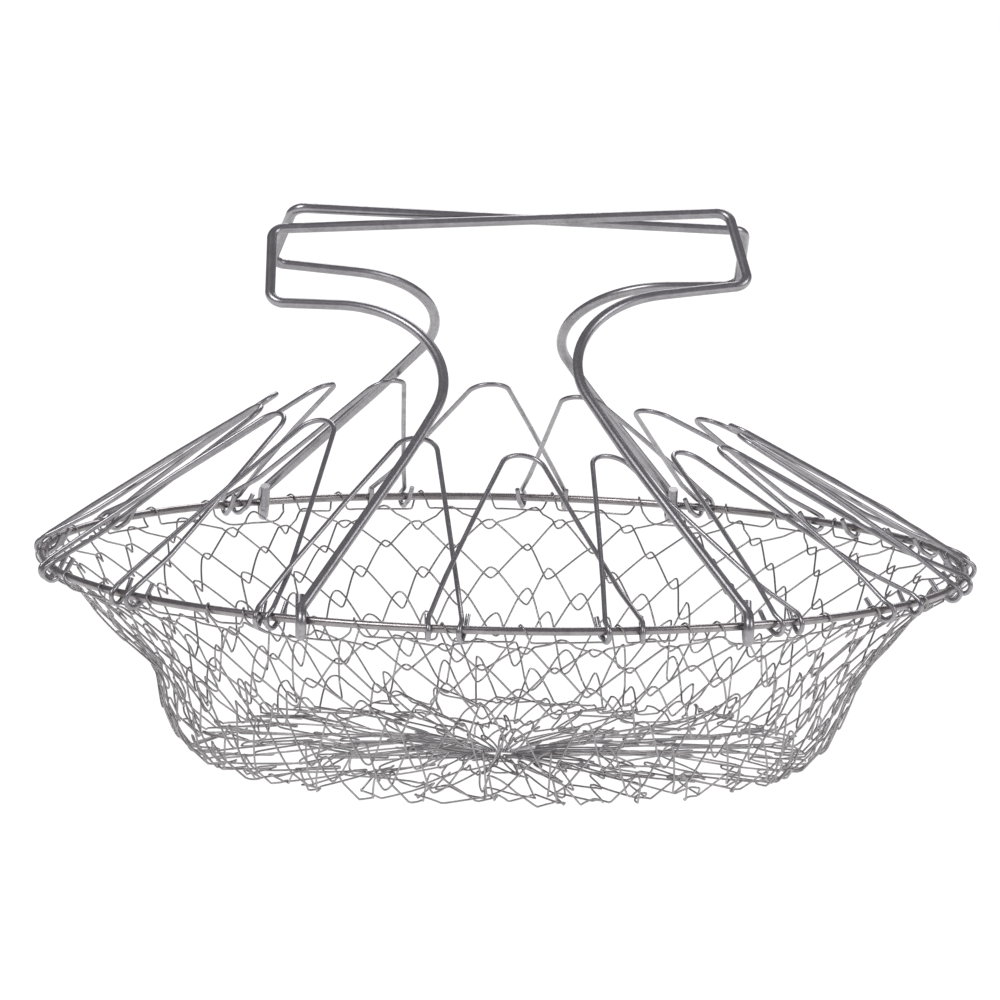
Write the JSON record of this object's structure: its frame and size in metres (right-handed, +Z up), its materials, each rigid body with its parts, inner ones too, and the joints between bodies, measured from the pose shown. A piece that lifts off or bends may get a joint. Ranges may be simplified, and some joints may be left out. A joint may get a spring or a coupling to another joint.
{
  "type": "collapsible wire basket",
  "caption": "Round basket of hanging chain-link wire net on a rim ring, with a crown of hinged V loops over it and a pair of hinged T shaped wire handles meeting above the middle",
  "frame": {"origin": "centre of the flat floor of the net, on the surface the basket stands on, straight under the rim's centre", "axes": "+Z up; -Y the side with the front handle; +X to the right when the front handle faces the viewer"},
  "size_m": [0.2361, 0.2362, 0.1385],
  "materials": {
    "rim_steel": "drawn steel wire, bright tinned",
    "handle_steel": "drawn steel wire, bright tinned",
    "loop_steel": "drawn steel wire, bright tinned",
    "net_steel": "thin drawn steel wire, bright tinned"
  },
  "bodies": {
    "basket": {"rim_ring": "rim_steel", "net_lacing": "net_steel", "net_hub_ring": "net_steel", "net_course_01": "net_steel", "net_course_02": "net_steel", "net_course_03": "net_steel", "net_course_04": "net_steel", "net_course_05": "net_steel", "net_course_06": "net_steel", "net_course_07": "net_steel", "net_course_08": "net_steel", "net_course_09": "net_steel", "net_course_10": "net_steel", "net_course_11": "net_steel", "net_course_12": "net_steel", "net_course_13": "net_steel", "net_course_14": "net_steel", "net_course_15": "net_steel"},
    "front_handle_body": {"front_handle": "handle_steel"},
    "rear_handle_body": {"rear_handle": "handle_steel"},
    "support_loop_01_body": {"support_loop_01": "loop_steel"},
    "support_loop_02_body": {"support_loop_02": "loop_steel"},
    "support_loop_03_body": {"support_loop_03": "loop_steel"},
    "support_loop_04_body": {"support_loop_04": "loop_steel"},
    "support_loop_05_body": {"support_loop_05": "loop_steel"},
    "support_loop_06_body": {"support_loop_06": "loop_steel"},
    "support_loop_07_body": {"support_loop_07": "loop_steel"},
    "support_loop_08_body": {"support_loop_08": "loop_steel"},
    "support_loop_09_body": {"support_loop_09": "loop_steel"},
    "support_loop_10_body": {"support_loop_10": "loop_steel"},
    "support_loop_11_body": {"support_loop_11": "loop_steel"},
    "support_loop_12_body": {"support_loop_12": "loop_steel"},
    "support_loop_13_body": {"support_loop_13": "loop_steel"},
    "support_loop_14_body": {"support_loop_14": "loop_steel"},
    "support_loop_15_body": {"support_loop_15": "loop_steel"},
    "support_loop_16_body": {"support_loop_16": "loop_steel"},
    "support_loop_17_body": {"support_loop_17": "loop_steel"}
  },
  "joints": [
    {"name": "front_handle_hinge", "type": "hinge", "parent": "basket", "child": "front_handle_body", "pos_m": [0.00533, -0.10177, 0.0495], "axis": [0.9986, 0.0523, 0], "range_deg": [0, 125]},
    {"name": "rear_handle_hinge", "type": "hinge", "parent": "basket", "child": "rear_handle_body", "pos_m": [-0.00977, 0.10144, 0.0495], "axis": [-0.9954, -0.0958, 0], "range_deg": [0, 125]},
    {"name": "support_loop_01_hinge", "type": "hinge", "parent": "basket", "child": "support_loop_01_body", "pos_m": [0.00782, -0.11187, 0.0495], "axis": [0.9976, 0.0698, 0], "range_deg": [-25, 0]},
    {"name": "support_loop_02_hinge", "type": "hinge", "parent": "basket", "child": "support_loop_02_body", "pos_m": [0.04739, -0.10164, 0.0495], "axis": [0.9063, 0.4226, 0], "range_deg": [-25, 0]},
    {"name": "support_loop_03_hinge", "type": "hinge", "parent": "basket", "child": "support_loop_03_body", "pos_m": [0.08228, -0.07619, 0.0495], "axis": [0.6794, 0.7337, 0], "range_deg": [-25, 0]},
    {"name": "support_loop_04_hinge", "type": "hinge", "parent": "basket", "child": "support_loop_04_body", "pos_m": [0.10245, -0.04561, 0.0495], "axis": [0.4067, 0.9135, 0], "range_deg": [-25, 0]},
    {"name": "support_loop_05_hinge", "type": "hinge", "parent": "basket", "child": "support_loop_05_body", "pos_m": [0.11171, -0.00977, 0.0495], "axis": [0.0872, 0.9962, 0], "range_deg": [-25, 0]},
    {"name": "support_loop_06_hinge", "type": "hinge", "parent": "basket", "child": "support_loop_06_body", "pos_m": [0.10857, 0.02808, 0.0495], "axis": [-0.2504, 0.9681, 0], "range_deg": [-25, 0]},
    {"name": "support_loop_07_hinge", "type": "hinge", "parent": "basket", "child": "support_loop_07_body", "pos_m": [0.09405, 0.06108, 0.0495], "axis": [-0.5446, 0.8387, 0], "range_deg": [-25, 0]},
    {"name": "support_loop_08_hinge", "type": "hinge", "parent": "basket", "child": "support_loop_08_body", "pos_m": [0.06981, 0.08776, 0.0495], "axis": [-0.7826, 0.6225, 0], "range_deg": [-25, 0]},
    {"name": "support_loop_09_hinge", "type": "hinge", "parent": "basket", "child": "support_loop_09_body", "pos_m": [0.02902, 0.10832, 0.0495], "axis": [-0.9659, 0.2588, 0], "range_deg": [-25, 0]},
    {"name": "support_loop_10_hinge", "type": "hinge", "parent": "basket", "child": "support_loop_10_body", "pos_m": [-0.00977, 0.11171, 0.0495], "axis": [-0.9962, -0.0872, 0], "range_deg": [-25, 0]},
    {"name": "support_loop_11_hinge", "type": "hinge", "parent": "basket", "child": "support_loop_11_body", "pos_m": [-0.04916, 0.10079, 0.0495], "axis": [-0.8988, -0.4384, 0], "range_deg": [-25, 0]},
    {"name": "support_loop_12_hinge", "type": "hinge", "parent": "basket", "child": "support_loop_12_body", "pos_m": [-0.08527, 0.07283, 0.0495], "axis": [-0.6494, -0.7604, 0], "range_deg": [-25, 0]},
    {"name": "support_loop_13_hinge", "type": "hinge", "parent": "basket", "child": "support_loop_13_body", "pos_m": [-0.10665, 0.03465, 0.0495], "axis": [-0.309, -0.9511, 0], "range_deg": [-25, 0]},
    {"name": "support_loop_14_hinge", "type": "hinge", "parent": "basket", "child": "support_loop_14_body", "pos_m": [-0.11187, -0.00782, 0.0495], "axis": [0.0698, -0.9976, 0], "range_deg": [-25, 0]},
    {"name": "support_loop_15_hinge", "type": "hinge", "parent": "basket", "child": "support_loop_15_body", "pos_m": [-0.09992, -0.05091, 0.0495], "axis": [0.454, -0.891, 0], "range_deg": [-25, 0]},
    {"name": "support_loop_16_hinge", "type": "hinge", "parent": "basket", "child": "support_loop_16_body", "pos_m": [-0.07357, -0.08464, 0.0495], "axis": [0.7547, -0.6561, 0], "range_deg": [-25, 0]},
    {"name": "support_loop_17_hinge", "type": "hinge", "parent": "basket", "child": "support_loop_17_body", "pos_m": [-0.03372, -0.10695, 0.0495], "axis": [0.9537, -0.3007, 0], "range_deg": [-25, 0]}
  ],
  "couplings": [
    {"joint": "support_loop_02_hinge", "follows": "support_loop_01_hinge", "ratio": 1},
    {"joint": "support_loop_03_hinge", "follows": "support_loop_01_hinge", "ratio": 1},
    {"joint": "support_loop_04_hinge", "follows": "support_loop_01_hinge", "ratio": 1},
    {"joint": "support_loop_05_hinge", "follows": "support_loop_01_hinge", "ratio": 1},
    {"joint": "support_loop_06_hinge", "follows": "support_loop_01_hinge", "ratio": 1},
    {"joint": "support_loop_07_hinge", "follows": "support_loop_01_hinge", "ratio": 1},
    {"joint": "support_loop_08_hinge", "follows": "support_loop_01_hinge", "ratio": 1},
    {"joint": "support_loop_09_hinge", "follows": "support_loop_01_hinge", "ratio": 1},
    {"joint": "support_loop_10_hinge", "follows": "support_loop_01_hinge", "ratio": 1},
    {"joint": "support_loop_11_hinge", "follows": "support_loop_01_hinge", "ratio": 1},
    {"joint": "support_loop_12_hinge", "follows": "support_loop_01_hinge", "ratio": 1},
    {"joint": "support_loop_13_hinge", "follows": "support_loop_01_hinge", "ratio": 1},
    {"joint": "support_loop_14_hinge", "follows": "support_loop_01_hinge", "ratio": 1},
    {"joint": "support_loop_15_hinge", "follows": "support_loop_01_hinge", "ratio": 1},
    {"joint": "support_loop_16_hinge", "follows": "support_loop_01_hinge", "ratio": 1},
    {"joint": "support_loop_17_hinge", "follows": "support_loop_01_hinge", "ratio": 1}
  ]
}
